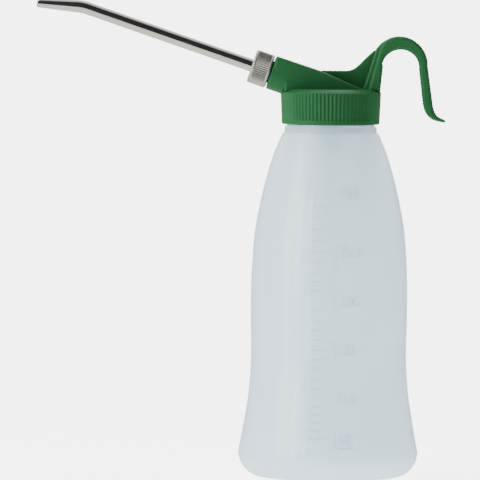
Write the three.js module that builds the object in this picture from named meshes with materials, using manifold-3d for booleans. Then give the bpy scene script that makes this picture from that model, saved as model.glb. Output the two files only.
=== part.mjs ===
// Squeeze oiler: a translucent bottle with a screw cap, a finger hook and a bent metal spout.
//
// Units are millimetres. The origin is the centre of the bottle's flat underside and +Z is up.
// The spout points towards -X and the finger hook towards +X, both in the plane Y = 0.

import * as THREE from "three";
import { mergeVertices } from "three/addons/utils/BufferGeometryUtils.js";
import Module from "manifold-3d";

const wasm = await Module();
wasm.setup();

// ---------------------------------------------------------------- driving dimensions

// Bottle body. WAIST lists the radius and height of the body between heel and neck.
const FOOT_RADIUS = 25.5;
const HEEL_RADIUS = 35;
const HEEL_HEIGHT = 9.8;
const WAIST = [
  [33.6, 17.5],
  [31.4, 31],
  [30.3, 46],
  [30.5, 62],
  [30.4, 78],
  [29.2, 95.5],
  [26.4, 110.5],
  [22.6, 124.5],
  [18.7, 134],
];
const BOTTLE_WALL = 1.1;

// Bottle neck and the bead below it.
const BEAD_RADIUS = 18;
const BEAD_HEIGHT = 135.4;
const BEAD_TOP = 137.2;
const BEAD_TOP_RADIUS = 17.4;
const NECK_FOOT = 137.8;
const NECK_RADIUS = 15.3;
const NECK_BORE_RADIUS = 13.8;
const NECK_RIM = 147.6;

// Screw cap.
const SKIRT_BOTTOM = 137.6;
const SKIRT_RADIUS = 19.1;
const SKIRT_CHAMFER = 0.5;
const COLLAR_TOP = 150.2;
const COLLAR_CHAMFER = 0.4;
const COLLAR_RADIUS = 19.6;
const DECK_UNDERSIDE = 149.2;
const DECK_TOP = 151.4;
const DECK_EDGE_RADIUS = 16.6;
const SKIRT_BORE_RADIUS = 16.9;
const BOSS_RADIUS = 6;
const BOSS_BORE_RADIUS = 4.5;
const BOSS_BOTTOM = 139.5;
const BOSS_BORE_TOP = 148.7;

// Sealing ring between the neck's rim and the cap's deck.
const SEAL_INNER_RADIUS = 13.9;
const SEAL_OUTER_RADIUS = 16.5;
const SEAL_THICKNESS = 1;

// Gap between pieces that touch, and between the flanks of mating threads.
const GAP = 0.3;

// Spout line: it leaves the bottle's axis at SPOUT_ROOT and climbs towards -X.
const SPOUT_ROOT = 149.7;
const SPOUT_ANGLE = THREE.MathUtils.degToRad(18.75);
const CHANNEL_RADIUS = 1.75;

// Spout socket, measured along the spout line from the bottle's axis.
const SOCKET_START = 18;
const SOCKET_FACE = 24.6;
const SOCKET_RADIUS = 6.65;
const SOCKET_STEP_END = 24.8;
const SOCKET_STEP_RADIUS = 5.8;
const NIPPLE_END = 28.3;
const NIPPLE_RADIUS = 4.4;
const NIPPLE_BORE_RADIUS = 3.5;
const NIPPLE_BORE_START = 26;

// Union nut, gasket and ferrule on the spout line.
const NUT_START = 25.1;
const NUT_END = 32.6;
const NUT_RADIUS = 6.65;
const NUT_BORE_RADIUS = 5.3;
const NUT_HOLE_RADIUS = 2.9;
const NUT_END_WALL = 1.7;
const NUT_CHAMFER = 0.5;
const GASKET_THICKNESS = 0.8;
const FERRULE_RADIUS = 4.35;
const FERRULE_THICKNESS = 0.9;
const FERRULE_HUB_RADIUS = 3.2;
const FERRULE_START = 26.5;

// Spout tube: straight, then one bend, then a tapered tip.
const TUBE_RADIUS = 2.5;
const TUBE_BORE_RADIUS = 1.8;
const TUBE_BEND_AT = 102.3;
const TUBE_BEND_RADIUS = 16;
const TUBE_BEND_ANGLE = THREE.MathUtils.degToRad(14.5);
const TIP_LENGTH = 18;
const TIP_RADIUS = 1.7;
const TIP_BORE_RADIUS = 1.1;
const TUBE_ARC_STEPS = 6;

// Wedge under the spout socket and the web behind it. Both sink into the deck by DECK_SINK.
const WEDGE_HALF_WIDTH = 6.65;
const WEDGE_KNEE = [-2.8, 157.9];
const WEDGE_TOE = [13.1, 151.2];
const WEDGE_HEEL_X = -18.2;
const WEDGE_FILLET = 4;
const WEDGE_FILLET_START = 1.6;
const WEB_THICKNESS = 2.2;
const WEB_TOP = 158.5;
const DECK_SINK = 1.2;

// Finger hook: a round grip inside, a round crown outside and a lip that curls outwards.
const HOOK_WIDTH = 11;
const HOOK_STEP_WIDTH = 8.4;
const HOOK_FOOT_X = 19.2;
const GRIP_CENTRE = [27, 159.6];
const GRIP_RADIUS = 7.3;
const CROWN_CENTRE = [26.6, 161];
const CROWN_RADIUS = 11;
const LIP_END = [44.8, 139.2];

// Tube connector and dip tube, which hang from the cap.
const CONNECTOR_RADIUS = 4.3;
const CONNECTOR_PLUG_RADIUS = 4.2;
const CONNECTOR_BOTTOM = 127;
const CONNECTOR_CHAMFER = 0.5;
const CONNECTOR_BORE_RADIUS = 2.7;
const CONNECTOR_BORE_TOP = 141;
const DIP_TUBE_RADIUS = 2.4;
const DIP_TUBE_BORE_RADIUS = 1.6;
const DIP_TUBE_BOTTOM = 4;
const DIP_TUBE_SLANT = 0.7;

// The two threads. A mating pair shares its numbers. Lengths run along the thread's axis.
const CAP_THREAD = {
  pitch: 4,
  height: 1.2,
  turns: 1.75,
  start: 139.4,
  halfRoot: 0.9,
  halfCrest: 0.45,
};
const NUT_THREAD = {
  pitch: 1.5,
  height: 0.6,
  turns: 1.25,
  start: 25.9,
  halfRoot: 0.3,
  halfCrest: 0.15,
};

// Thread ridges: how deep they sink into their wall, and the turns that they take to run out.
const THREAD_SUNK = 0.25;
const THREAD_RUN_OUT = 0.2;

// How far a cutting body, or the hidden end of a joined one, reaches past its mate's face.
const REACH = 1;

// Facets around a full circle.
const BOTTLE_FACETS = 32;
const CAP_FACETS = 40;
const SMALL_FACETS = 20;
const TUBE_FACETS = 12;
const THREAD_FACETS = 20;

// ---------------------------------------------------------------- shape helpers

// Turn a closed three.js geometry into a solid that can be joined and cut.
function toSolid(geometry) {
  const bare = geometry.clone();
  bare.deleteAttribute("normal");
  bare.deleteAttribute("uv");
  const merged = mergeVertices(bare, 1e-4);
  const triangles = [];
  const index = merged.index.array;
  for (let i = 0; i < index.length; i += 3) {
    const [a, b, c] = [index[i], index[i + 1], index[i + 2]];
    if (a !== b && b !== c && c !== a) {
      triangles.push(a, b, c);
    }
  }
  return new wasm.Manifold(
    new wasm.Mesh({
      numProp: 3,
      vertProperties: new Float32Array(merged.attributes.position.array),
      triVerts: new Uint32Array(triangles),
    }),
  );
}

function toGeometry(solid) {
  const mesh = solid.getMesh();
  const geometry = new THREE.BufferGeometry();
  const positions = new THREE.BufferAttribute(mesh.vertProperties, mesh.numProp);
  geometry.setAttribute("position", positions);
  geometry.setIndex(new THREE.BufferAttribute(mesh.triVerts, 1));
  geometry.computeVertexNormals();
  return geometry;
}

// Revolve a profile of (radius, height) points about +Z.
function revolve(profile, facets) {
  const points = profile.map(([radius, height]) => new THREE.Vector2(radius, height));
  const geometry = new THREE.LatheGeometry(points, facets);
  geometry.rotateX(Math.PI / 2);
  return toSolid(geometry);
}

// A ring or, with no inner radius, a disc between two heights.
function ring(inner, outer, bottom, top, facets) {
  if (inner === 0) {
    return revolve([[0, bottom], [outer, bottom], [outer, top], [0, top]], facets);
  }
  const section = [[inner, bottom], [outer, bottom], [outer, top], [inner, top]];
  return revolve([...section, section[0]], facets);
}

// Extrude an outline drawn in the XZ plane by a width centred on Y = 0.
function plate(shape, width, curveSegments) {
  const settings = { depth: width, bevelEnabled: false, curveSegments };
  const geometry = new THREE.ExtrudeGeometry(shape, settings);
  geometry.translate(0, 0, -width / 2);
  geometry.rotateX(Math.PI / 2);
  return toSolid(geometry);
}

// Extrude a shape in straight steps, then move each point (u, v, w) by a mapping that isn't
// a mirror image.
function sweep(shape, length, steps, curveSegments, mapping) {
  const settings = { depth: length, steps, bevelEnabled: false, curveSegments };
  const geometry = new THREE.ExtrudeGeometry(shape, settings);
  const position = geometry.attributes.position;
  for (let i = 0; i < position.count; i += 1) {
    const [x, y, z] = mapping(position.getX(i), position.getY(i), position.getZ(i));
    position.setXYZ(i, x, y, z);
  }
  return toSolid(geometry);
}

// A right-hand helical ridge about +Z on a wall of the given radius. It stands out from the wall
// (side 1) or in towards the axis (side -1) and runs out to nothing at both ends. Its first end
// is turned about the axis by phase, in turns.
function threadRidge(wall, side, phase, thread) {
  const { pitch, height, turns, start, halfRoot, halfCrest } = thread;
  const section = new THREE.Shape();
  section.moveTo(-THREAD_SUNK * side, -halfRoot * side);
  section.lineTo(height * side, -halfCrest * side);
  section.lineTo(height * side, halfCrest * side);
  section.lineTo(-THREAD_SUNK * side, halfRoot * side);
  section.closePath();
  const steps = Math.round(turns * THREAD_FACETS);
  return sweep(section, turns, steps, 1, (u, v, w) => {
    const fade = THREE.MathUtils.clamp(Math.min(w, turns - w) / THREAD_RUN_OUT, 0.02, 1);
    const isCrest = u * side > 0;
    const radius = wall + (isCrest ? u * fade : u);
    const angle = (w + phase) * 2 * Math.PI;
    return [radius * Math.cos(angle), radius * Math.sin(angle), start - v + w * pitch];
  });
}

// Move a solid modelled along +Z from the origin onto the spout line.
function ontoSpoutLine(solid) {
  const tilt = 90 - THREE.MathUtils.radToDeg(SPOUT_ANGLE);
  return solid.rotate([0, -tilt, 0]).translate([0, 0, SPOUT_ROOT]);
}

// The point of the plane Y = 0 at a distance along the spout line and a height above it.
function spoutPoint(along, above) {
  return [
    -along * Math.cos(SPOUT_ANGLE) + above * Math.sin(SPOUT_ANGLE),
    SPOUT_ROOT + along * Math.sin(SPOUT_ANGLE) + above * Math.cos(SPOUT_ANGLE),
  ];
}

// ---------------------------------------------------------------- bottle

// Profile of the bottle's outside, or of its inside when a wall thickness is given.
function bottleProfile(wall) {
  const outline = new THREE.Path();
  outline.moveTo(0, wall);
  outline.lineTo(FOOT_RADIUS - wall, wall);
  outline.absellipse(
    FOOT_RADIUS - wall,
    HEEL_HEIGHT,
    HEEL_RADIUS - FOOT_RADIUS,
    HEEL_HEIGHT - wall,
    -Math.PI / 2,
    0,
  );
  outline.splineThru(WAIST.map(([radius, height]) => new THREE.Vector2(radius - wall, height)));
  return outline.getPoints(2).map((point) => [point.x, point.y]);
}

function makeBottle() {
  const outside = revolve(
    [
      ...bottleProfile(0),
      [BEAD_RADIUS, BEAD_HEIGHT],
      [BEAD_TOP_RADIUS, BEAD_TOP],
      [NECK_RADIUS, NECK_FOOT],
      [NECK_RADIUS, NECK_RIM],
      [0, NECK_RIM],
    ],
    BOTTLE_FACETS,
  );
  const inside = revolve(
    [
      ...bottleProfile(BOTTLE_WALL),
      [NECK_BORE_RADIUS, NECK_FOOT],
      [NECK_BORE_RADIUS, NECK_RIM + REACH],
      [0, NECK_RIM + REACH],
    ],
    BOTTLE_FACETS,
  );
  const thread = threadRidge(NECK_RADIUS, 1, 0, CAP_THREAD);
  return outside.add(thread).subtract(inside);
}

// ---------------------------------------------------------------- screw cap

function makeCapBody() {
  const outside = revolve(
    [
      [0, SKIRT_BOTTOM],
      [SKIRT_RADIUS - SKIRT_CHAMFER, SKIRT_BOTTOM],
      [SKIRT_RADIUS, SKIRT_BOTTOM + SKIRT_CHAMFER],
      [COLLAR_RADIUS, COLLAR_TOP - COLLAR_CHAMFER],
      [COLLAR_RADIUS - COLLAR_CHAMFER, COLLAR_TOP],
      [DECK_EDGE_RADIUS, DECK_TOP],
      [0, DECK_TOP],
    ],
    CAP_FACETS,
  );
  const inside = ring(0, SKIRT_BORE_RADIUS, SKIRT_BOTTOM - REACH, DECK_UNDERSIDE, CAP_FACETS);
  const boss = ring(0, BOSS_RADIUS, BOSS_BOTTOM, DECK_UNDERSIDE + REACH, SMALL_FACETS);
  const thread = threadRidge(SKIRT_BORE_RADIUS, -1, 0.5, CAP_THREAD);
  return outside.subtract(inside).add(boss).add(thread);
}

// Outline of the wedge that carries the spout socket, seen from the side.
function wedgeShape() {
  const [topX, topZ] = spoutPoint(SOCKET_FACE, SOCKET_RADIUS);
  const [sideX, sideZ] = spoutPoint(SOCKET_FACE - WEDGE_FILLET_START, 0);
  const shape = new THREE.Shape();
  shape.moveTo(topX, topZ);
  shape.lineTo(sideX, sideZ);
  shape.quadraticCurveTo(WEDGE_HEEL_X, sideZ - 1, WEDGE_HEEL_X, sideZ - WEDGE_FILLET);
  shape.lineTo(WEDGE_HEEL_X, DECK_TOP - DECK_SINK);
  shape.lineTo(WEDGE_TOE[0], DECK_TOP - DECK_SINK);
  shape.lineTo(...WEDGE_TOE);
  shape.lineTo(...WEDGE_KNEE);
  shape.closePath();
  return shape;
}

// Thin upright web between the wedge and the finger hook.
function webShape() {
  const shape = new THREE.Shape();
  shape.moveTo(WEDGE_KNEE[0] - REACH, DECK_TOP - DECK_SINK);
  shape.lineTo(18, DECK_TOP - DECK_SINK);
  shape.lineTo(18.6, 166.2);
  shape.lineTo(16.8, 166.6);
  shape.bezierCurveTo(11.3, 162, 10, WEB_TOP, 5.7, WEB_TOP);
  shape.lineTo(WEDGE_KNEE[0] - REACH, WEB_TOP);
  shape.closePath();
  return shape;
}

// Finger hook: a leg on the deck, the arch, an outer leg and the lip.
function hookShape() {
  const shape = new THREE.Shape();
  shape.moveTo(14.2, DECK_TOP - DECK_SINK);
  shape.lineTo(HOOK_FOOT_X, DECK_TOP - DECK_SINK);
  shape.lineTo(20.2, 160.5);
  shape.absarc(...GRIP_CENTRE, GRIP_RADIUS, 2.88, -0.08, true);
  shape.lineTo(35.7, 146.8);
  shape.bezierCurveTo(36.1, 142.6, 37.8, 139.8, 41.5, 139.1);
  shape.lineTo(LIP_END[0] - 0.8, LIP_END[1] - 0.5);
  shape.lineTo(...LIP_END);
  shape.lineTo(LIP_END[0] - 1.6, LIP_END[1] + 0.9);
  shape.bezierCurveTo(41, 140.8, 39.9, 143, 39.5, 146.8);
  shape.lineTo(37.65, 160.2);
  shape.absarc(...CROWN_CENTRE, CROWN_RADIUS, -0.06, 1.85, false);
  shape.bezierCurveTo(21.2, 170.9, 19, 168.8, 18.1, 164.7);
  shape.closePath();
  return shape;
}

// Narrower step along the front of the hook's inner leg, which rounds into the arch.
function hookStepShape() {
  const shape = new THREE.Shape();
  shape.moveTo(12.2, DECK_TOP - DECK_SINK);
  shape.lineTo(17, DECK_TOP - DECK_SINK);
  shape.lineTo(20.2, 163);
  shape.lineTo(26, 169.5);
  shape.absarc(...CROWN_CENTRE, CROWN_RADIUS - 0.1, 1.75, 2.38, false);
  shape.lineTo(16.8, 164.9);
  shape.closePath();
  return shape;
}

// The socket: a round barrel, a low step that the nut faces, and the threaded nipple.
function makeSocket() {
  const barrel = ring(0, SOCKET_RADIUS, SOCKET_START, SOCKET_FACE, 2 * SMALL_FACETS);
  const stepStart = SOCKET_FACE - REACH;
  const step = ring(0, SOCKET_STEP_RADIUS, stepStart, SOCKET_STEP_END, 2 * SMALL_FACETS);
  const nipple = ring(0, NIPPLE_RADIUS, SOCKET_FACE - REACH, NIPPLE_END, SMALL_FACETS);
  const thread = threadRidge(NIPPLE_RADIUS, 1, 0, NUT_THREAD);
  return ontoSpoutLine(barrel.add(step).add(nipple).add(thread));
}

function makeScrewCap() {
  const channel = ring(0, CHANNEL_RADIUS, 0, NIPPLE_BORE_START + REACH, TUBE_FACETS);
  const nippleBore = ring(
    0,
    NIPPLE_BORE_RADIUS,
    NIPPLE_BORE_START,
    NIPPLE_END + REACH,
    SMALL_FACETS,
  );
  const bossBore = ring(0, BOSS_BORE_RADIUS, BOSS_BOTTOM - REACH, BOSS_BORE_TOP, SMALL_FACETS);
  return makeCapBody()
    .add(plate(wedgeShape(), 2 * WEDGE_HALF_WIDTH, 4))
    .add(makeSocket())
    .add(plate(webShape(), WEB_THICKNESS, 4))
    .add(plate(hookStepShape(), HOOK_STEP_WIDTH, 4))
    .add(plate(hookShape(), HOOK_WIDTH, 6))
    .subtract(ontoSpoutLine(channel.add(nippleBore)))
    .subtract(bossBore);
}

function makeCapSeal() {
  const bottom = NECK_RIM + GAP;
  const top = bottom + SEAL_THICKNESS;
  return ring(SEAL_INNER_RADIUS, SEAL_OUTER_RADIUS, bottom, top, CAP_FACETS);
}

// ---------------------------------------------------------------- tube connector and dip tube

function makeTubeConnector() {
  const plugBottom = BOSS_BOTTOM + GAP;
  const outside = revolve(
    [
      [0, CONNECTOR_BOTTOM],
      [CONNECTOR_RADIUS - CONNECTOR_CHAMFER, CONNECTOR_BOTTOM],
      [CONNECTOR_RADIUS, CONNECTOR_BOTTOM + CONNECTOR_CHAMFER],
      [CONNECTOR_RADIUS, BOSS_BOTTOM - GAP],
      [CONNECTOR_PLUG_RADIUS, plugBottom],
      [CONNECTOR_PLUG_RADIUS, BOSS_BORE_TOP - GAP],
      [0, BOSS_BORE_TOP - GAP],
    ],
    SMALL_FACETS,
  );
  const tubeBore = ring(
    0,
    CONNECTOR_BORE_RADIUS,
    CONNECTOR_BOTTOM - REACH,
    CONNECTOR_BORE_TOP,
    SMALL_FACETS,
  );
  const outlet = ring(
    0,
    DIP_TUBE_BORE_RADIUS,
    CONNECTOR_BORE_TOP - REACH,
    BOSS_BORE_TOP + REACH,
    TUBE_FACETS,
  );
  return outside.subtract(tubeBore).subtract(outlet);
}

// The dip tube's lower end is cut at a slant so that it can't seal against the floor.
function makeDipTube() {
  const top = CONNECTOR_BORE_TOP - GAP;
  const tube = ring(DIP_TUBE_BORE_RADIUS, DIP_TUBE_RADIUS, DIP_TUBE_BOTTOM, top, TUBE_FACETS);
  const normal = [DIP_TUBE_SLANT, 0, 1];
  const length = Math.hypot(...normal);
  const offset = DIP_TUBE_BOTTOM + DIP_TUBE_SLANT * DIP_TUBE_RADIUS;
  return tube.trimByPlane(normal.map((part) => part / length), offset / length);
}

// ---------------------------------------------------------------- spout

function makeUnionNut() {
  const outside = revolve(
    [
      [0, NUT_START],
      [NUT_RADIUS - NUT_CHAMFER, NUT_START],
      [NUT_RADIUS, NUT_START + NUT_CHAMFER],
      [NUT_RADIUS, NUT_END - NUT_CHAMFER],
      [NUT_RADIUS - NUT_CHAMFER, NUT_END],
      [0, NUT_END],
    ],
    2 * SMALL_FACETS,
  );
  const threadBore = ring(
    0,
    NUT_BORE_RADIUS,
    NUT_START - REACH,
    NUT_END - NUT_END_WALL,
    2 * SMALL_FACETS,
  );
  const tubeHole = ring(0, NUT_HOLE_RADIUS, NUT_START, NUT_END + REACH, SMALL_FACETS);
  const thread = threadRidge(NUT_BORE_RADIUS, -1, 0.5, NUT_THREAD);
  return ontoSpoutLine(outside.subtract(threadBore).add(thread).subtract(tubeHole));
}

function makeSpoutGasket() {
  const start = NIPPLE_END + GAP;
  const end = start + GASKET_THICKNESS;
  return ontoSpoutLine(ring(NIPPLE_BORE_RADIUS, NIPPLE_RADIUS, start, end, SMALL_FACETS));
}

function makeSpoutFerrule() {
  const flangeStart = NIPPLE_END + 2 * GAP + GASKET_THICKNESS;
  const flangeEnd = flangeStart + FERRULE_THICKNESS;
  const bore = TUBE_RADIUS + GAP;
  const flange = ring(bore, FERRULE_RADIUS, flangeStart, flangeEnd, SMALL_FACETS);
  const hub = ring(bore, FERRULE_HUB_RADIUS, FERRULE_START, flangeStart + 0.1, SMALL_FACETS);
  return ontoSpoutLine(flange.add(hub));
}

// The tube's centre line and its slope at a distance along the tube: straight, arc, straight.
const ARC_START = TUBE_BEND_AT - TUBE_BEND_RADIUS * Math.tan(TUBE_BEND_ANGLE / 2);
const ARC_END = ARC_START + TUBE_BEND_RADIUS * TUBE_BEND_ANGLE;

function tubeCentre(along) {
  const turned = THREE.MathUtils.clamp((along - ARC_START) / TUBE_BEND_RADIUS, 0, TUBE_BEND_ANGLE);
  const beyond = Math.max(along - ARC_END, 0);
  const arcForward = TUBE_BEND_RADIUS * Math.sin(turned);
  const arcDrop = TUBE_BEND_RADIUS * (1 - Math.cos(turned));
  const forward = Math.min(along, ARC_START) + arcForward + beyond * Math.cos(turned);
  const [x, z] = spoutPoint(forward, -arcDrop - beyond * Math.sin(turned));
  return { x, z, slope: SPOUT_ANGLE - turned };
}

function makeSpoutTube() {
  const section = new THREE.Shape();
  section.absarc(0, 0, TUBE_RADIUS, 0, 2 * Math.PI);
  const bore = new THREE.Path();
  bore.absarc(0, 0, TUBE_BORE_RADIUS, 0, 2 * Math.PI, true);
  section.holes.push(bore);

  const tubeEnd = TUBE_BEND_AT + TIP_LENGTH;
  const stations = [FERRULE_START];
  for (let i = 0; i <= TUBE_ARC_STEPS; i += 1) {
    stations.push(ARC_START + ((ARC_END - ARC_START) * i) / TUBE_ARC_STEPS);
  }
  stations.push(tubeEnd);

  const steps = stations.length - 1;
  return sweep(section, steps, steps, TUBE_FACETS / 2, (u, v, w) => {
    const along = stations[Math.round(w)];
    const taper = THREE.MathUtils.clamp((along - ARC_END) / (tubeEnd - ARC_END), 0, 1);
    const isOuter = Math.hypot(u, v) > (TUBE_RADIUS + TUBE_BORE_RADIUS) / 2;
    const tipScale = isOuter ? TIP_RADIUS / TUBE_RADIUS : TIP_BORE_RADIUS / TUBE_BORE_RADIUS;
    const scale = THREE.MathUtils.lerp(1, tipScale, taper);
    const { x, z, slope } = tubeCentre(along);
    return [x + v * scale * Math.sin(slope), -u * scale, z + v * scale * Math.cos(slope)];
  });
}

// ---------------------------------------------------------------- assembly

const FROSTED_PLASTIC = { color: 0xd2dadd, roughness: 0.45, metalness: 0 };
const GREEN_PLASTIC = { color: 0x236b3d, roughness: 0.42, metalness: 0 };
const BLUE_PLASTIC = { color: 0x66b8cc, roughness: 0.4, metalness: 0 };
const CLEAR_PLASTIC = { color: 0xe6ecec, roughness: 0.35, metalness: 0 };
const WHITE_SEAL = { color: 0xe8e8e2, roughness: 0.6, metalness: 0 };
const BLACK_RUBBER = { color: 0x1c1c1c, roughness: 0.8, metalness: 0 };
const NICKEL = { color: 0xb4b0a8, roughness: 0.28, metalness: 1 };
const BRASS = { color: 0xb8923f, roughness: 0.35, metalness: 1 };

const PIECES = [
  ["bottle", makeBottle, FROSTED_PLASTIC],
  ["screw_cap", makeScrewCap, GREEN_PLASTIC],
  ["cap_seal", makeCapSeal, WHITE_SEAL],
  ["tube_connector", makeTubeConnector, BLUE_PLASTIC],
  ["dip_tube", makeDipTube, CLEAR_PLASTIC],
  ["spout_gasket", makeSpoutGasket, BLACK_RUBBER],
  ["spout_ferrule", makeSpoutFerrule, BRASS],
  ["spout_tube", makeSpoutTube, NICKEL],
  ["union_nut", makeUnionNut, NICKEL],
];

const oiler = new THREE.Group();
for (const [name, make, finish] of PIECES) {
  const mesh = new THREE.Mesh(toGeometry(make()), new THREE.MeshStandardMaterial(finish));
  mesh.name = name;
  oiler.add(mesh);
}

export default oiler;
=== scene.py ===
import math

import bmesh
import bpy
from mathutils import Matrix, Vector


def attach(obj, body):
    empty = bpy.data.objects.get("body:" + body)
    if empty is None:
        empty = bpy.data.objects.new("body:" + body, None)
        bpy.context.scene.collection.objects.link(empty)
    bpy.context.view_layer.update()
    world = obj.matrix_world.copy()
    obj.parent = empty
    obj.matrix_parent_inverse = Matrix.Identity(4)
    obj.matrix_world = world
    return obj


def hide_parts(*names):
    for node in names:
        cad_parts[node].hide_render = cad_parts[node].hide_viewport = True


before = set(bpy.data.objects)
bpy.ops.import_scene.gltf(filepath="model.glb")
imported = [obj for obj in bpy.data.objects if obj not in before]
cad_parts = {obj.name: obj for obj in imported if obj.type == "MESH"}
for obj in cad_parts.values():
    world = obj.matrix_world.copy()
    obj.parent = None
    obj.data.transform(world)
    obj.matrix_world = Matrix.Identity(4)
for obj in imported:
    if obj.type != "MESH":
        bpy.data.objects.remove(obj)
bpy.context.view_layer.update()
scene = bpy.context.scene
MM = 0.001

# ---------------------------------------------------------------- dimensions, in millimetres

# Z is up, the bottle's axis is X = Y = 0, the spout points to -X and the scale faces -Y.

# Bottle. The waist has (radius, height) points from the heel to the bead under the cap.
# A thread's start is its lowest height, and it fades in and out over a share of a turn.
FOOT_RADIUS = 25.5
HEEL_RADIUS = 35
HEEL_HEIGHT = 9.8
WAIST = [
    (33.6, 17.5), (31.4, 31), (30.3, 46), (30.5, 62), (30.4, 78),
    (29.2, 95.5), (26.4, 110.5), (22.6, 124.5), (18.7, 134),
]
WALL = 1.1
FLOOR_THICKNESS = 1.1
FOOT_HOLLOW = 0.9
NECK_RADIUS = 15.3
NECK_BORE_RADIUS = 13.8
NECK_RIM = 147.6
THREAD_PITCH = 4
THREAD_HEIGHT = 1.2
THREAD_TURNS = 1.75
THREAD_START = 139.4
THREAD_HALF_ROOT = 0.9
THREAD_HALF_CREST = 0.45
THREAD_FADE = 0.2

# Screw cap: collar, deck and the boss inside it. The wedge and hook are sunk into the deck.
# The ribs fade out towards +X and -X, where the sine of their angle drops between two limits.
SKIRT_BOTTOM = 137.6
SKIRT_RADIUS = 19.1
SKIRT_ROUND = 0.55
COLLAR_TOP = 150.2
COLLAR_RADIUS = 19.6
COLLAR_CHAMFER = 0.4
DECK_UNDERSIDE = 149.2
DECK_TOP = 151.4
DECK_EDGE_RADIUS = 16.6
DECK_SINK = 1.2
LEG_SINK = 1
SKIRT_BORE_RADIUS = 16.9
BOSS_RADIUS = 6
BOSS_BORE_RADIUS = 4.5
BOSS_BOTTOM = 139.5
BOSS_BORE_TOP = 148.7
RIB_COUNT = 80
RIB_DEPTH = 0.42
RIB_STEPS = 8
RIB_BOTTOM = 139.1
RIB_TOP = 150.25
RIB_FADE_START = 0.5
RIB_FADE_END = 0.74

# Socket and nipple on the spout's line, which crosses the bottle's axis at the root's height.
# Places here, on the nut and on the tube are distances along that line.
SPOUT_ROOT = 149.7
SPOUT_ANGLE = math.radians(18.75)
CHANNEL_RADIUS = 1.75
SOCKET_START = 15
SOCKET_FACE = 24.6
SOCKET_RADIUS = 6.65
SOCKET_STEP_END = 24.8
SOCKET_STEP_RADIUS = 5.8
NIPPLE_END = 28.3
NIPPLE_RADIUS = 4.4
NIPPLE_BORE_RADIUS = 3.5
NIPPLE_BORE_START = 26
NUT_PITCH = 1.5
NUT_THREAD_HEIGHT = 0.6
NUT_THREAD_TURNS = 1.25
NUT_THREAD_START = 25.9
NUT_THREAD_HALF_ROOT = 0.3
NUT_THREAD_HALF_CREST = 0.15

# Union nut.
NUT_START = 25.1
NUT_END = 32.6
NUT_RADIUS = 6.65
NUT_BORE_RADIUS = 5.3
NUT_HOLE_RADIUS = 2.9
NUT_END_WALL = 1.7
KNURL_COUNT = 50
KNURL_DEPTH = 0.26
KNURL_MARGIN = 0.9

# Spout tube: straight, one bend, then a tapered tip.
TUBE_START = 26.5
TUBE_RADIUS = 2.5
TUBE_BORE_RADIUS = 1.8
TUBE_BEND_AT = 102.3
TUBE_BEND_RADIUS = 16
TUBE_BEND_ANGLE = math.radians(14.5)
TIP_LENGTH = 18
TIP_RADIUS = 1.7
TIP_BORE_RADIUS = 1.1

# Wedge, web and finger hook, with (X, Z) points. An EDGE is the radius of a slab's rounded sides.
WEDGE_HALF_WIDTH = 6.65
WEDGE_KNEE = (-2.8, 157.9)
WEDGE_TOE = (13.1, 151.2)
WEDGE_HEEL_X = -18.2
WEDGE_FILLET = 4
WEDGE_FILLET_START = 1.6
WEDGE_EDGE = 1
WEB_THICKNESS = 2.2
WEB_TOP = 158.5
WEB_EDGE = 0.8
HOOK_WIDTH = 11
HOOK_EDGE = 1.4
HOOK_STEP_WIDTH = 8.4
HOOK_STEP_EDGE = 0.9
HOOK_FOOT_X = 19.2
GRIP_CENTRE = (27, 159.6)
GRIP_RADIUS = 7.3
CROWN_CENTRE = (26.6, 161)
CROWN_RADIUS = 11

# ---------------------------------------------------------------- mesh helpers


def smoothstep(low, high, value):
    """0 below low, 1 above high and a smooth rise between."""
    share = min(max((value - low) / (high - low), 0), 1)
    return share * share * (3 - 2 * share)


def mesh_piece(name, vertices, faces, sharp_angle=30):
    """An object from vertices in millimetres, with its faces turned outwards."""
    mesh = bpy.data.meshes.new(name)
    mesh.from_pydata([tuple(c * MM for c in v) for v in vertices], [], faces)
    bm = bmesh.new()
    bm.from_mesh(mesh)
    bmesh.ops.recalc_face_normals(bm, faces=bm.faces)
    bm.to_mesh(mesh)
    bm.free()
    piece = bpy.data.objects.new(name, mesh)
    scene.collection.objects.link(piece)
    shade(piece, sharp_angle)
    return piece


def shade(piece, sharp_angle):
    """Smooth shading, with edges sharper than the angle kept crisp."""
    mesh = piece.data
    mesh.shade_smooth()
    mesh.set_sharp_from_angle(angle=math.radians(sharp_angle))


def skin(rings, wrap=False):
    """Vertices and faces of a skin through rings of points. A ring of one point is a pole."""
    vertices = [point for ring in rings for point in ring]
    starts = [0]
    for ring in rings:
        starts.append(starts[-1] + len(ring))
    faces = []
    last = len(rings) if wrap else len(rings) - 1
    for a in range(last):
        b = (a + 1) % len(rings)
        count = max(len(rings[a]), len(rings[b]))
        for k in range(count):
            n = (k + 1) % count
            corners = [
                starts[a] + k % len(rings[a]),
                starts[a] + n % len(rings[a]),
                starts[b] + n % len(rings[b]),
                starts[b] + k % len(rings[b]),
            ]
            faces.append(list(dict.fromkeys(corners)))
    return vertices, faces


def lathe(name, profile, angles, shape=None, wrap=False, sharp_angle=30):
    """Revolve (radius, height) points about +Z. shape(radius, height, angle) may move the radius."""
    rings = []
    for radius, height in profile:
        if radius == 0:
            rings.append([(0, 0, height)])
            continue
        ring = []
        for angle in angles:
            r = shape(radius, height, angle) if shape else radius
            ring.append((r * math.cos(angle), r * math.sin(angle), height))
        rings.append(ring)
    vertices, faces = skin(rings, wrap)
    return mesh_piece(name, vertices, faces, sharp_angle)


def even_angles(count):
    """Angles of a full turn in even steps, from 0."""
    return [2 * math.pi * k / count for k in range(count)]


def rows(start, end, step):
    """Heights from start to end in even steps."""
    count = max(1, round(abs(end - start) / step))
    return [start + (end - start) * k / count for k in range(count + 1)]


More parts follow.
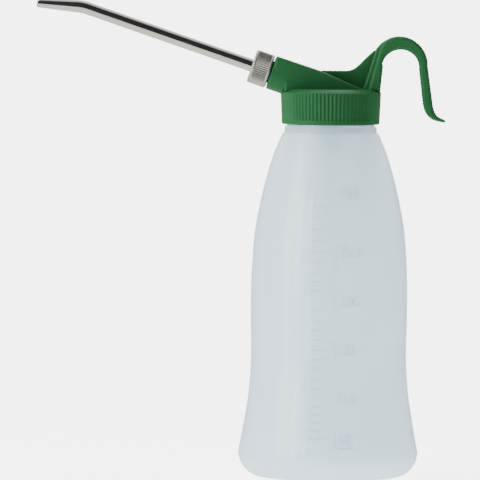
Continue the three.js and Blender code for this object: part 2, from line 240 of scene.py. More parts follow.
def catmull_rom(points, steps):
    """Points on a smooth curve through the given ones."""
    curve = []
    for i in range(len(points) - 1):
        p0 = Vector(points[max(i - 1, 0)])
        p1 = Vector(points[i])
        p2 = Vector(points[i + 1])
        p3 = Vector(points[min(i + 2, len(points) - 1)])
        v0 = (p2 - p0) / 2
        v1 = (p3 - p1) / 2
        for k in range(steps):
            t = k / steps
            point = (
                (2 * p1 - 2 * p2 + v0 + v1) * t**3
                + (3 * p2 - 3 * p1 - 2 * v0 - v1) * t**2
                + v0 * t
                + p1
            )
            curve.append(tuple(point))
    curve.append(tuple(points[-1]))
    return curve


def bezier(p0, p1, p2, p3, steps):
    """Points on a cubic curve, without its first point."""
    points = []
    for k in range(1, steps + 1):
        t = k / steps
        s = 1 - t
        points.append(tuple(
            s**3 * a + 3 * s * s * t * b + 3 * s * t * t * c + t**3 * d
            for a, b, c, d in zip(p0, p1, p2, p3)
        ))
    return points


def arc(centre, radius, start, end, steps):
    """Points on an arc between two angles, both ends included."""
    return [
        (
            centre[0] + radius * math.cos(start + (end - start) * k / steps),
            centre[1] + radius * math.sin(start + (end - start) * k / steps),
        )
        for k in range(steps + 1)
    ]


def spout_point(along, above):
    """The point of the plane Y = 0 at a distance along the spout line and a height above it."""
    return (
        -along * math.cos(SPOUT_ANGLE) + above * math.sin(SPOUT_ANGLE),
        SPOUT_ROOT + along * math.sin(SPOUT_ANGLE) + above * math.cos(SPOUT_ANGLE),
    )


def onto_spout_line(piece):
    """Move a piece modelled along +Z from the origin onto the spout line."""
    for vertex in piece.data.vertices:
        x, y, z = (c / MM for c in vertex.co)
        px, pz = spout_point(z, x)
        vertex.co = (px * MM, y * MM, pz * MM)
    bm = bmesh.new()
    bm.from_mesh(piece.data)
    bmesh.ops.recalc_face_normals(bm, faces=bm.faces)
    bm.to_mesh(piece.data)
    bm.free()
    return piece


def inward_steps(outline):
    """For each corner of an outline, the step that moves both its sides inwards by one."""
    steps = []
    for k, corner in enumerate(outline):
        before = (corner - outline[k - 1]).normalized()
        after = (outline[(k + 1) % len(outline)] - corner).normalized()
        first = Vector((-before.y, before.x))
        second = Vector((-after.y, after.x))
        middle = (first + second).normalized()
        steps.append(middle / max(middle.dot(first), 0.5))
    return steps


def room_inside(outline, corner, step):
    """Distance from a corner along its inward step to the other side of the outline."""
    room = math.inf
    for k, start in enumerate(outline):
        end = outline[(k + 1) % len(outline)]
        side = end - start
        turn = step.x * side.y - step.y * side.x
        if corner in (start, end) or abs(turn) < 1e-9:
            continue
        gap = start - corner
        along = (gap.x * side.y - gap.y * side.x) / turn
        across = (gap.x * step.y - gap.y * step.x) / turn
        if along > 1e-6 and 0 <= across <= 1:
            room = min(room, along)
    return room


ROOM_SHARE = 0.42
SIDE_SHARE = 0.8
INSET_SLOPE = 0.35


def insets(outline, steps, edge):
    """How far each corner may move inwards: up to edge, and less where the outline is thin.

    A side keeps at least a fifth of its length, and the inset grows slowly away from thin places.
    """
    count = len(outline)
    inset = [min(edge, ROOM_SHARE * room_inside(outline, p, s)) for p, s in zip(outline, steps)]
    for k in range(count):
        n = (k + 1) % count
        side = outline[n] - outline[k]
        shrink = side.dot(steps[k] - steps[n]) / side.length
        if shrink > 0:
            limit = SIDE_SHARE * side.length / shrink
            inset[k] = min(inset[k], limit)
            inset[n] = min(inset[n], limit)
    for k in list(range(2 * count)) + list(range(2 * count, 0, -1)):
        for n in ((k - 1) % count, (k + 1) % count):
            length = (outline[k % count] - outline[n]).length
            inset[k % count] = min(inset[k % count], inset[n] + INSET_SLOPE * length)
    return inset


def slab(name, outline, half_width, edge, segments=5, sharp_angle=35):
    """Extrude an outline in the XZ plane to both sides of Y = 0, with its side edges rounded."""
    outline = [Vector(point) for point in outline]
    twice_area = sum(a.cross(b) for a, b in zip(outline, outline[1:] + outline[:1]))
    if twice_area < 0:
        outline.reverse()
    steps = inward_steps(outline)
    inset = insets(outline, steps, edge)
    rings = []
    for k in list(range(segments, -1, -1)) + list(range(segments + 1)):
        side = -1 if len(rings) <= segments else 1
        t = math.pi / 2 * k / segments
        y = side * (half_width - edge * (1 - math.sin(t)))
        ring = [p + s * d * (1 - math.cos(t)) for p, s, d in zip(outline, steps, inset)]
        rings.append([(p.x, y, p.y) for p in ring])
    vertices, faces = skin(rings)
    faces.append(list(range(len(outline))))
    faces.append(list(range(len(vertices) - len(outline), len(vertices))))
    return mesh_piece(name, vertices, faces, sharp_angle)


def combine(target, others, operation):
    """Join to or cut from target the other pieces, which are then removed."""
    for other in others:
        modifier = target.modifiers.new("combine", "BOOLEAN")
        modifier.operation = operation
        modifier.solver = "MANIFOLD"
        modifier.object = other
    bpy.context.view_layer.update()
    evaluated = target.evaluated_get(bpy.context.evaluated_depsgraph_get())
    mesh = bpy.data.meshes.new_from_object(evaluated)
    target.modifiers.clear()
    target.data = mesh
    for other in others:
        bpy.data.objects.remove(other)
    return target


def thread_height(height, angle, start, pitch, turns, phase, half_root, half_crest):
    """Share of its full height that a helical ridge has at a height and an angle."""
    turn = (angle / (2 * math.pi) - phase) % 1
    best = 0
    while turn <= turns:
        distance = abs(height - start - turn * pitch)
        flank = 1 - smoothstep(half_crest * 0.8, half_root * 1.1, distance)
        fade = smoothstep(0, THREAD_FADE, min(turn, turns - turn))
        best = max(best, flank * fade)
        turn += 1
    return best


# ---------------------------------------------------------------- bottle

# The graduated panel's edges are sharp over PANEL_EDGE, and it fades out over two bands of height.
FRONT = math.radians(-90)
PANEL_START = FRONT - math.radians(15)
PANEL_END = FRONT + math.radians(27)
PANEL_RELIEF = 0.16
PANEL_EDGE = 0.004
PANEL_BOTTOM = (11, 15)
PANEL_TOP = (104, 112)
BODY_SIDES = 120
HEEL_STEPS = 16
WAIST_STEPS = 8

# Volume scale: the height of each number, then how its strokes stand proud and where they are.
SCALE_LEVELS = {50: 16.8, 100: 32.2, 150: 51.2, 200: 70.2, 250: 88.9, 300: 111}
SCALE_RELIEF = 0.24
SCALE_SUNK = 0.3
SCALE_STROKE = 0.45
TICKS_PER_LEVEL = 5
TICK_LENGTH = 4.2
LEVEL_TICK_LENGTH = 5.4
TICK_ANGLE = FRONT - math.radians(9.4)
LINE_ANGLE = FRONT + math.radians(4)
LINE_LENGTH = 6.6
LINE_HEIGHTS = (16.5, 51, 69.5, 86)
NUMBER_ANGLE = FRONT + math.radians(6.5)
NUMBER_HEIGHT = 4.3
DIGIT_SHARE = 0.7
UNDERLINE_LENGTH = 6.4
UNDERLINE_DROP = 3.4


def body_profile(wall):
    """Profile of the bottle's body from the foot to under the neck."""
    heel = [
        (
            FOOT_RADIUS - wall + (HEEL_RADIUS - FOOT_RADIUS) * math.sin(t),
            HEEL_HEIGHT - (HEEL_HEIGHT - wall) * math.cos(t),
        )
        for t in (math.pi / 2 * k / HEEL_STEPS for k in range(HEEL_STEPS + 1))
    ]
    points = [(r - wall, z) for r, z in [(HEEL_RADIUS, HEEL_HEIGHT)] + WAIST]
    return heel + catmull_rom(points, WAIST_STEPS)[1:]


def body_radius(height):
    """Outer radius of the body at a height."""
    profile = body_profile(0)
    for (r0, z0), (r1, z1) in zip(profile, profile[1:]):
        if z0 <= height <= z1:
            return r0 + (r1 - r0) * (height - z0) / (z1 - z0)
    return profile[-1][0]


def panel_relief(angle, height):
    """How far the graduated panel stands proud. It is flatter than the body and sharp at its edges."""
    angle = (angle + math.pi) % (2 * math.pi) - math.pi
    if not PANEL_START <= angle <= PANEL_END:
        return 0
    middle = (PANEL_START + PANEL_END) / 2
    half = (PANEL_END - PANEL_START) / 2
    bow = ((angle - middle) / half) ** 2
    ends = smoothstep(*PANEL_BOTTOM, height) * (1 - smoothstep(*PANEL_TOP, height))
    return PANEL_RELIEF * (2 * bow - 1) * ends


def make_bottle():
    """Body with a hollow foot, a bead under the cap and a threaded neck, open at the mouth."""
    foot = [(0, FOOT_HOLLOW), (16, FOOT_HOLLOW), (20, 0.75), (22.5, 0.3), (24, 0.05)]
    outside = foot + body_profile(0)[:-1]
    outside += [(18.62, 134.05), (18.3, 134.3), (17.98, 134.5), (17.95, 134.75), (18.05, 135.1)]
    outside += [(18, 135.8), (17.75, 136.5), (17.35, 137), (16.8, 137.3), (15.9, 137.5)]
    outside += [(15.45, 137.65)]
    outside += [(NECK_RADIUS, z) for z in rows(138, 147.2, 0.2)]
    rim = [(NECK_RADIUS - 0.1, 147.45), (NECK_RADIUS - 0.35, NECK_RIM)]
    rim += [(NECK_BORE_RADIUS + 0.3, NECK_RIM), (NECK_BORE_RADIUS, 147.3)]
    inside = [(NECK_BORE_RADIUS, 137.9)] + list(reversed(body_profile(WALL)[2:]))
    floor = FOOT_HOLLOW + FLOOR_THICKNESS
    inside += [(22.5, 1.4), (20, 1.8), (16, floor), (0, floor)]
    profile = outside + rim + inside

    angles = even_angles(BODY_SIDES)
    for edge in (PANEL_START, PANEL_END):
        edge = edge % (2 * math.pi)
        angles = [a for a in angles if abs(a - edge) > 3 * PANEL_EDGE]
        angles += [edge - PANEL_EDGE, edge, edge + PANEL_EDGE]
    angles.sort()

    def shape(radius, height, angle):
        if radius == NECK_RADIUS:
            return radius + THREAD_HEIGHT * thread_height(
                height, angle, THREAD_START, THREAD_PITCH, THREAD_TURNS, 0,
                THREAD_HALF_ROOT, THREAD_HALF_CREST,
            )
        if radius > body_radius(height) - WALL / 2:
            return radius + panel_relief(angle, height)
        return radius

    return lathe("oiler_bottle", profile, angles, shape, sharp_angle=40)


def bend_onto_body(mesh, middle, height):
    """Wrap a flat mesh (x right, y up, z out, in millimetres) onto the front of the body."""
    for vertex in mesh.vertices:
        x, y, out = vertex.co
        z = height + y
        angle = middle + x / body_radius(z)
        radius = body_radius(z) + panel_relief(angle, z) + out
        vertex.co = (radius * math.cos(angle) * MM, radius * math.sin(angle) * MM, z * MM)


def bar_mesh(length, across=False, shift=0):
    """A raised bar with rounded long edges, upright or across, split along its length to bend."""
    half = SCALE_STROKE / 2
    section = [(-half, -SCALE_SUNK), (-half, SCALE_RELIEF * 0.5), (-half * 0.6, SCALE_RELIEF)]
    section += [(-x, z) for x, z in reversed(section)]
    steps = max(1, math.ceil(length / 1.5))
    rings = []
    for k in range(steps + 1):
        along = shift - length / 2 + length * k / steps
        rings.append([(along, x, z) if across else (x, along, z) for x, z in section])
    vertices, faces = skin(rings)
    faces.append(list(range(len(section))))
    faces.append(list(range(steps * len(section), (steps + 1) * len(section))))
    mesh = bpy.data.meshes.new("bar")
    mesh.from_pydata(vertices, [], faces)
    return mesh


def digit_mesh(text):
    """A raised number whose left end is at x = 0 and whose middle is at y = 0."""
    curve = bpy.data.curves.new("digits", "FONT")
    curve.body = text
    curve.size = NUMBER_HEIGHT / DIGIT_SHARE
    curve.extrude = (SCALE_RELIEF + SCALE_SUNK) / 2
    curve.resolution_u = 3
    curve.offset = -0.02
    holder = bpy.data.objects.new("digits", curve)
    scene.collection.objects.link(holder)
    bpy.context.view_layer.update()
    evaluated = holder.evaluated_get(bpy.context.evaluated_depsgraph_get())
    mesh = bpy.data.meshes.new_from_object(evaluated)
    bpy.data.objects.remove(holder)
    xs = [v.co.x for v in mesh.vertices]
    ys = [v.co.y for v in mesh.vertices]
    for v in mesh.vertices:
        out = v.co.z + (SCALE_RELIEF - SCALE_SUNK) / 2
        v.co = (v.co.x - min(xs), v.co.y - (min(ys) + max(ys)) / 2, out)
    return mesh


def make_scale():
    """Volume scale moulded on the front of the bottle: ticks, a broken line and numbers."""
    parts = []

    def place(mesh, angle, height):
        bend_onto_body(mesh, angle, height)
        parts.append(mesh)

    heights = sorted(SCALE_LEVELS.values())
    for low, high in zip(heights, heights[1:]):
        for k in range(TICKS_PER_LEVEL):
            height = low + (high - low) * k / TICKS_PER_LEVEL
            place(bar_mesh(TICK_LENGTH if k else LEVEL_TICK_LENGTH, across=True), TICK_ANGLE, height)
    for height in LINE_HEIGHTS:
        place(bar_mesh(LINE_LENGTH), LINE_ANGLE, height)
    for volume, height in SCALE_LEVELS.items():
        place(digit_mesh(str(volume)), NUMBER_ANGLE, height)
    underline = bar_mesh(UNDERLINE_LENGTH, across=True, shift=UNDERLINE_LENGTH / 2)
    place(underline, NUMBER_ANGLE, SCALE_LEVELS[50] - UNDERLINE_DROP)

    bm = bmesh.new()
    for mesh in parts:
        bm.from_mesh(mesh)
        bpy.data.meshes.remove(mesh)
    bmesh.ops.recalc_face_normals(bm, faces=bm.faces)
    mesh = bpy.data.meshes.new("oiler_scale")
    bm.to_mesh(mesh)
    bm.free()
    piece = bpy.data.objects.new("oiler_scale", mesh)
    scene.collection.objects.link(piece)
    shade(piece, 50)
    return piece


# ---------------------------------------------------------------- screw cap


def make_collar():
    """Skirt with vertical grip ribs, deck and boss, with the thread inside the skirt."""
    round_top = SKIRT_BOTTOM + SKIRT_ROUND
    taper_height = COLLAR_TOP - COLLAR_CHAMFER - round_top
    outside = [(DECK_EDGE_RADIUS - 1.5, DECK_TOP - 0.02), (DECK_EDGE_RADIUS, DECK_TOP - 0.1)]
    outside += [(COLLAR_RADIUS - 0.75, COLLAR_TOP + 0.12), (COLLAR_RADIUS - 0.35, COLLAR_TOP)]
    outside += [(COLLAR_RADIUS - 0.1, COLLAR_TOP - 0.1), (COLLAR_RADIUS, COLLAR_TOP - 0.35)]

    for z in (149.6, 149.3, 149, 148, 147, 145, 143, 141, 140, 139.7, 139.45, 139.2, 138.9):
        share = (z - round_top) / taper_height
        outside.append((SKIRT_RADIUS + (COLLAR_RADIUS - SKIRT_RADIUS) * share, z))
    outside += arc((SKIRT_RADIUS - SKIRT_ROUND, round_top), SKIRT_ROUND, 0, -math.pi / 2, 5)
    inside = [(SKIRT_BORE_RADIUS + 0.3, SKIRT_BOTTOM), (SKIRT_BORE_RADIUS, SKIRT_BOTTOM + 0.3)]
    inside += [(SKIRT_BORE_RADIUS, z) for z in rows(138.2, 148.2, 0.25)]
    inside += [(SKIRT_BORE_RADIUS, DECK_UNDERSIDE), (BOSS_RADIUS, DECK_UNDERSIDE)]
    inside += [(BOSS_RADIUS, BOSS_BOTTOM + 0.2), (BOSS_RADIUS - 0.2, BOSS_BOTTOM)]
    inside += [(BOSS_BORE_RADIUS + 0.2, BOSS_BOTTOM), (BOSS_BORE_RADIUS, BOSS_BOTTOM + 0.2)]
    inside += [(BOSS_BORE_RADIUS, BOSS_BORE_TOP), (0, BOSS_BORE_TOP)]
    profile = [(0, DECK_TOP)] + outside + inside

    def shape(radius, height, angle):
        if radius > SKIRT_RADIUS - SKIRT_ROUND and height > RIB_BOTTOM:
            run_out = smoothstep(RIB_BOTTOM, RIB_BOTTOM + 0.7, height)
            run_out *= 1 - smoothstep(RIB_TOP - 0.55, RIB_TOP, height)
            wave = (1 - math.cos(RIB_COUNT * angle)) / 2
            facing = smoothstep(RIB_FADE_START, RIB_FADE_END, abs(math.sin(angle)))
            return radius - RIB_DEPTH * run_out * facing * wave**0.8
        if radius == SKIRT_BORE_RADIUS:
            return radius - THREAD_HEIGHT * thread_height(
                height, angle, THREAD_START, THREAD_PITCH, THREAD_TURNS, 0.5,
                THREAD_HALF_ROOT, THREAD_HALF_CREST,
            )
        return radius

    return lathe("oiler_screw_cap", profile, even_angles(RIB_COUNT * RIB_STEPS), shape)


def wedge_outline():
    """Wedge that carries the socket: its face square to the spout, filleted down to the heel."""
    side = spout_point(SOCKET_FACE - WEDGE_FILLET_START, 0)
    heel = (WEDGE_HEEL_X, side[1] - WEDGE_FILLET)
    control = (WEDGE_HEEL_X, side[1] - 1)
    first = tuple(a + (b - a) * 2 / 3 for a, b in zip(side, control))
    second = tuple(b + (a - b) * 2 / 3 for a, b in zip(control, heel))
    outline = [spout_point(SOCKET_FACE, SOCKET_RADIUS), spout_point(SOCKET_FACE, 2.5), side]
    outline += bezier(side, first, second, heel, 10)
    outline += [(WEDGE_HEEL_X, DECK_TOP - DECK_SINK), (WEDGE_TOE[0], DECK_TOP - DECK_SINK)]
    outline += [WEDGE_TOE, WEDGE_KNEE]
    return outline


def web_outline():
    """Thin web from the wedge to the hook's inner leg, which it climbs in a curve."""
    foot = DECK_TOP - LEG_SINK
    outline = [(WEDGE_KNEE[0] - 1, foot), (18, foot), (18.6, 166.2), (16.8, 166.6)]
    outline += bezier((16.8, 166.6), (11.3, 162), (10, WEB_TOP), (5.7, WEB_TOP), 14)
    outline.append((WEDGE_KNEE[0] - 1, WEB_TOP))
    return outline


def hook_outline():
    """Full-width part of the hook. Its front edge runs up the leg and fades into the arch."""
    outline = [(14.2, DECK_TOP - LEG_SINK), (HOOK_FOOT_X, DECK_TOP - DECK_SINK), (20.2, 160.5)]
    outline += arc(GRIP_CENTRE, GRIP_RADIUS, 2.88, -0.08, 28)
    outline.append((35.7, 146.8))
    outline += bezier((35.7, 146.8), (36.1, 142.6), (37.8, 139.8), (41.5, 139.1), 10)
    outline += [(43.4, 138.75), (44, 138.7), (44.5, 138.85), (44.78, 139.2), (44.2, 139.7)]
    outline += [(43.2, 140.1)] + bezier((43.2, 140.1), (41, 140.8), (39.9, 143), (39.5, 146.8), 10)
    outline.append((37.65, 160.2))
    outline += arc(CROWN_CENTRE, CROWN_RADIUS, -0.06, 1.85, 26)
    outline += bezier(outline[-1], (21.2, 170.9), (19, 168.8), (18.1, 164.7), 8)
    return outline


def hook_step_outline():
    """Narrower step along the front of the hook's inner leg, which rounds into the arch."""
    outline = [(12.2, DECK_TOP - LEG_SINK), (17, DECK_TOP - LEG_SINK), (20.2, 163)]
    outline += [(23, 167.5), (26, 169.5)]
    outline += arc(CROWN_CENTRE, CROWN_RADIUS - 0.1, 1.75, 2.38, 8)
    outline += [(17.4, 166.9), (16.8, 164.9)]
    return outline


def make_socket():
    """Round barrel along the spout line, with a stepped face and the threaded nipple."""
    profile = [(0, SOCKET_START), (SOCKET_RADIUS, SOCKET_START), (SOCKET_RADIUS, SOCKET_FACE - 0.3)]
    profile += [(SOCKET_RADIUS - 0.3, SOCKET_FACE), (SOCKET_STEP_RADIUS, SOCKET_FACE)]
    profile += [(SOCKET_STEP_RADIUS, SOCKET_STEP_END), (NIPPLE_RADIUS, SOCKET_STEP_END)]
    profile += [(NIPPLE_RADIUS, z) for z in rows(SOCKET_STEP_END + 0.2, NIPPLE_END - 0.3, 0.1)]
    profile += [(NIPPLE_RADIUS - 0.3, NIPPLE_END), (0, NIPPLE_END)]

    def shape(radius, height, angle):
        if radius == NIPPLE_RADIUS:
            return radius + NUT_THREAD_HEIGHT * thread_height(
                height, angle, NUT_THREAD_START, NUT_PITCH, NUT_THREAD_TURNS, 0,
                NUT_THREAD_HALF_ROOT, NUT_THREAD_HALF_CREST,
            )
        return radius

    return onto_spout_line(lathe("socket", profile, even_angles(96), shape))


def make_screw_cap():
    """Collar, wedge, socket, web and hook as one moulding, with the oil channel cut through."""
    cap = make_collar()
    parts = [
        slab("wedge", wedge_outline(), WEDGE_HALF_WIDTH, WEDGE_EDGE),
        make_socket(),
        slab("web", web_outline(), WEB_THICKNESS / 2, WEB_EDGE),
        slab("hook_step", hook_step_outline(), HOOK_STEP_WIDTH / 2, HOOK_STEP_EDGE),
        slab("hook", hook_outline(), HOOK_WIDTH / 2, HOOK_EDGE, segments=7),
    ]
    combine(cap, parts, "UNION")
    channel = [(0, 0), (CHANNEL_RADIUS, 0), (CHANNEL_RADIUS, NIPPLE_BORE_START)]
    beyond = NIPPLE_END + 0.7
    channel += [(NIPPLE_BORE_RADIUS, NIPPLE_BORE_START), (NIPPLE_BORE_RADIUS, beyond), (0, beyond)]
    combine(cap, [onto_spout_line(lathe("channel", channel, even_angles(48)))], "DIFFERENCE")
    shade(cap, 32)
    flatten = cap.modifiers.new("flat_faces", "WEIGHTED_NORMAL")
    flatten.keep_sharp = True
    flatten.weight = 100
    return cap


# ---------------------------------------------------------------- union nut and spout tube


def make_union_nut():
    """Nut with a straight knurl between two plain rims, threaded inside."""
    knurl_ends = (NUT_START + KNURL_MARGIN, NUT_END - KNURL_MARGIN)
    outside = [(NUT_RADIUS - 1.4, NUT_START), (NUT_RADIUS - 0.5, NUT_START)]
    outside += [(NUT_RADIUS - 0.12, NUT_START + 0.3), (NUT_RADIUS, NUT_START + 0.55)]
    outside += [(NUT_RADIUS, z) for z in rows(NUT_START + 0.75, NUT_START + 1.35, 0.15)]
    outside += [(NUT_RADIUS, z) for z in rows(NUT_END - 1.35, NUT_END - 0.75, 0.15)]
    outside += [(NUT_RADIUS, NUT_END - 0.55), (NUT_RADIUS - 0.12, NUT_END - 0.3)]
    outside += [(NUT_RADIUS - 0.5, NUT_END), (NUT_HOLE_RADIUS + 0.2, NUT_END)]
    inside = [(NUT_HOLE_RADIUS, NUT_END - 0.2), (NUT_HOLE_RADIUS, NUT_END - NUT_END_WALL)]
    inside += [(NUT_BORE_RADIUS, z) for z in rows(NUT_END - NUT_END_WALL, NUT_START + 0.2, 0.1)]
    profile = outside + inside

    def shape(radius, height, angle):
        if radius == NUT_RADIUS and knurl_ends[0] - 0.3 < height < knurl_ends[1] + 0.3:
            run_out = smoothstep(knurl_ends[0] - 0.15, knurl_ends[0] + 0.3, height)
            run_out *= 1 - smoothstep(knurl_ends[1] - 0.3, knurl_ends[1] + 0.15, height)
            wave = abs((angle * KNURL_COUNT / (2 * math.pi)) % 1 * 2 - 1)
            return radius - KNURL_DEPTH * run_out * wave
        if radius == NUT_BORE_RADIUS:
            return radius - NUT_THREAD_HEIGHT * thread_height(
                height, angle, NUT_THREAD_START, NUT_PITCH, NUT_THREAD_TURNS, 0.5,
                NUT_THREAD_HALF_ROOT, NUT_THREAD_HALF_CREST,
            )
        return radius

    nut = lathe("oiler_union_nut", profile, even_angles(KNURL_COUNT * 6), shape, wrap=True)
    return onto_spout_line(nut)


ARC_START = TUBE_BEND_AT - TUBE_BEND_RADIUS * math.tan(TUBE_BEND_ANGLE / 2)
ARC_END = ARC_START + TUBE_BEND_RADIUS * TUBE_BEND_ANGLE
TUBE_END = TUBE_BEND_AT + TIP_LENGTH


def tube_ring(along, radius):
    """Ring of points around the tube's centre line: straight, arc, straight."""
    turned = min(max((along - ARC_START) / TUBE_BEND_RADIUS, 0), TUBE_BEND_ANGLE)
    beyond = max(along - ARC_END, 0)
    forward = min(along, ARC_START) + TUBE_BEND_RADIUS * math.sin(turned) + beyond * math.cos(turned)
    drop = TUBE_BEND_RADIUS * (1 - math.cos(turned)) + beyond * math.sin(turned)
    x, z = spout_point(forward, -drop)
    slope = SPOUT_ANGLE - turned
    ring = []
    for angle in even_angles(64):
        up = radius * math.sin(angle)
        side = radius * math.cos(angle)
        ring.append((x + up * math.sin(slope), side, z + up * math.cos(slope)))
    return ring


def make_spout_tube():
    """Tube with a bend near its end and a tapered tip, open right through."""
    stations = rows(TUBE_START, ARC_START, 12)
    stations += [ARC_START + (ARC_END - ARC_START) * k / 14 for k in range(1, 15)]
    stations += rows(ARC_END, TUBE_END - 0.35, 1.2)[1:]

    def scaled(along, full, tip):
        share = min(max((along - ARC_END) / (TUBE_END - ARC_END), 0), 1)
        return full + (tip - full) * share

    rings = [tube_ring(s, scaled(s, TUBE_RADIUS, TIP_RADIUS)) for s in stations]
    rings.append(tube_ring(TUBE_END - 0.12, TIP_RADIUS - 0.06))
    rings.append(tube_ring(TUBE_END, TIP_RADIUS - 0.22))
    rings.append(tube_ring(TUBE_END, TIP_BORE_RADIUS + 0.12))
    rings.append(tube_ring(TUBE_END - 0.12, TIP_BORE_RADIUS))
    for s in reversed(stations[1:]):
        rings.append(tube_ring(s, scaled(s, TUBE_BORE_RADIUS, TIP_BORE_RADIUS)))
    rings.append(tube_ring(TUBE_START, TUBE_BORE_RADIUS))
    vertices, faces = skin(rings, wrap=True)
    return mesh_piece("oiler_spout_tube", vertices, faces, 40)


# ---------------------------------------------------------------- materials


class Finish:
    """A Principled material and short ways to add nodes to it."""

    def __init__(self, name, colour, roughness, metallic=0.0):
        self.material = bpy.data.materials.new(name)
        self.material.use_nodes = True
        self.nodes = self.material.node_tree.nodes
        self.links = self.material.node_tree.links
        self.shader = self.nodes["Principled BSDF"]
        self.shader.inputs["Base Color"].default_value = (*colour, 1)
        self.shader.inputs["Roughness"].default_value = roughness
        self.shader.inputs["Metallic"].default_value = metallic
        self.place = self.add("ShaderNodeTexCoord").outputs["Object"]

    def add(self, kind, **inputs):
        """A new node with its sockets set by name, where an underscore stands for a space."""
        node = self.nodes.new(kind)
        for name, value in inputs.items():
            node.inputs[name.replace("_", " ")].default_value = value
        return node

    def stretched(self, scale):
        """The object's coordinates, stretched along the axes."""
        mapping = self.add("ShaderNodeMapping", Scale=scale)
        self.links.new(self.place, mapping.inputs["Vector"])
        return mapping.outputs["Vector"]

    def noise(self, scale, detail=3, place=None):
        """Noise over the object, with the scale in features per metre."""
        texture = self.add("ShaderNodeTexNoise", Scale=scale, Detail=detail)
        self.links.new(place or self.place, texture.inputs["Vector"])
        return texture.outputs["Fac"]

    def range(self, value, low, high):
        """Map a noise value onto low to high."""
        node = self.add("ShaderNodeMapRange", From_Min=0.3, From_Max=0.7, To_Min=low, To_Max=high)
        self.links.new(value, node.inputs["Value"])
        return node.outputs["Result"]

    def blend(self, value, first, second):
        """A colour between two, by a noise value."""
        node = self.nodes.new("ShaderNodeMix")
        node.data_type = "RGBA"
        node.inputs["A"].default_value = (*first, 1)
        node.inputs["B"].default_value = (*second, 1)
        self.links.new(value, node.inputs["Factor"])
        return node.outputs["Result"]

    def set(self, socket, value):
        """Drive one of the shader's sockets with a node's output."""
        self.links.new(value, self.shader.inputs[socket])

    def bump(self, value, strength, distance):
        """Fine relief from a noise value, with the distance in metres."""
        node = self.add("ShaderNodeBump", Strength=strength, Distance=distance)
        self.links.new(value, node.inputs["Height"])
        self.links.new(node.outputs["Normal"], self.shader.inputs["Normal"])


def frosted_finish():
    """Milky polyethylene: light passes through and spreads, under a smoother skin."""
    f = Finish("frosted_polyethylene", (0.82, 0.9, 0.94), 0.42)
    f.shader.inputs["IOR"].default_value = 1.5
    f.shader.inputs["Transmission Weight"].default_value = 0.7
    f.shader.inputs["Coat Weight"].default_value = 0.35
    f.shader.inputs["Coat Roughness"].default_value = 0.16
    f.set("Base Color", f.blend(f.noise(60), (0.8, 0.885, 0.93), (0.84, 0.91, 0.95)))
    f.set("Roughness", f.range(f.noise(900, 2), 0.3, 0.4))
    f.bump(f.noise(2500, 2), 0.12, 0.00008)
    translucent = f.add("ShaderNodeBsdfTranslucent")
    translucent.inputs["Color"].default_value = (0.84, 0.92, 0.96, 1)
    mix = f.nodes.new("ShaderNodeMixShader")
    mix.inputs["Fac"].default_value = 0.3
    f.links.new(f.shader.outputs[0], mix.inputs[1])
    f.links.new(translucent.outputs[0], mix.inputs[2])
    f.links.new(mix.outputs[0], f.nodes["Material Output"].inputs["Surface"])
    return f.material


def green_finish():
    """Moulded opaque plastic with an even, satin surface."""
    f = Finish("green_plastic", (0.02, 0.11, 0.038), 0.42)
    f.shader.inputs["Specular IOR Level"].default_value = 0.05
    f.shader.inputs["IOR"].default_value = 1.5
    f.set("Base Color", f.blend(f.noise(140), (0.019, 0.104, 0.036), (0.021, 0.116, 0.04)))
    f.set("Roughness", f.range(f.noise(700, 3), 0.38, 0.5))
    f.bump(f.noise(2400, 2), 0.12, 0.00008)
    return f.material


def nickel_finish():
    """Bright plated tube with faint draw marks along it."""
    f = Finish("nickel_plate", (0.4, 0.378, 0.337), 0.14, 1.0)
    lengthways = f.stretched((18, 900, 900))
    f.set("Roughness", f.range(f.noise(1, 3, lengthways), 0.1, 0.22))
    f.set("Base Color", f.blend(f.noise(180), (0.37, 0.35, 0.312), (0.43, 0.406, 0.362)))
    f.bump(f.noise(1, 2, lengthways), 0.08, 0.00005)
    return f.material


def nut_finish():
    """Duller plating, as on a knurled nut."""
    f = Finish("nut_plate", (0.33, 0.311, 0.274), 0.46, 1.0)
    f.set("Roughness", f.range(f.noise(900, 3), 0.4, 0.55))
    f.set("Base Color", f.blend(f.noise(260), (0.31, 0.292, 0.256), (0.35, 0.331, 0.292)))
    f.bump(f.noise(2600, 2), 0.15, 0.00005)
    return f.material


def plain_finish(name, colour, roughness, metallic, spread):
    """A moulded, foamed or turned finish with fine mottling."""
    f = Finish(name, colour, roughness, metallic)
    darker = tuple(c * (1 - spread) for c in colour)
    f.set("Base Color", f.blend(f.noise(500), darker, colour))
    f.set("Roughness", f.range(f.noise(1200, 2), roughness * 0.85, min(1, roughness * 1.2)))
    f.bump(f.noise(2500, 2), 0.15, 0.00005)
    return f.material


# ---------------------------------------------------------------- pieces

frosted = frosted_finish()

# Each piece with its body, the CAD nodes it replaces, its slot and its material.
PIECES = [
    (make_bottle(), "bottle", ["bottle"], "frosted_polyethylene", frosted),
    (make_scale(), "bottle", [], "frosted_polyethylene", frosted),
    (make_screw_cap(), "cap", ["screw_cap"], "green_plastic", green_finish()),
    (make_union_nut(), "union_nut", ["union_nut"], "nut_plate", nut_finish()),
    (make_spout_tube(), "spout", ["spout_tube"], "nickel_plate", nickel_finish()),
]
for piece, body, nodes, slot, material in PIECES:
    piece.data.materials.clear()
    piece.data.materials.append(material)
    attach(piece, body)
    if nodes:
        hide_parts(*nodes)

